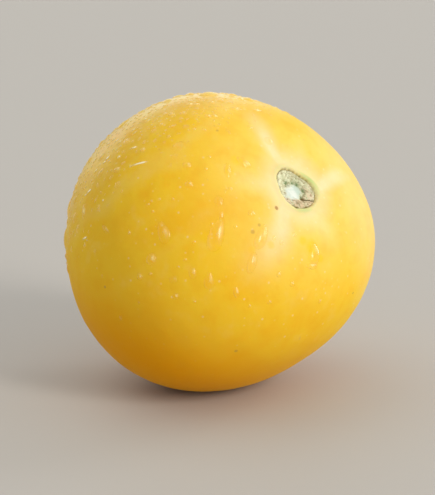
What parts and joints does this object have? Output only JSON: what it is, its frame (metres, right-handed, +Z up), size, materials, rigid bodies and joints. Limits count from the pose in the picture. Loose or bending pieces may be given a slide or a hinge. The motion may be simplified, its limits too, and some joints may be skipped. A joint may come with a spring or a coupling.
{
  "type": "cocona fruit",
  "caption": "Whole ripe golden-yellow cocona fruit lying on its side on a small flat spot, with a sunken corky stem scar turned up.",
  "frame": {"origin": "on the resting surface, under the middle of the fruit's box seen from above", "axes": "+Z up, -Y towards the viewer, and the stem end turned up and between +X and -Y"},
  "size_m": [0.068, 0.0672, 0.0648],
  "materials": {
    "skin": "waxy satin fruit skin, golden yellow, paler round the stem scar"
  },
  "bodies": {
    "root": {"cocona_fruit": "skin"}
  },
  "joints": []
}
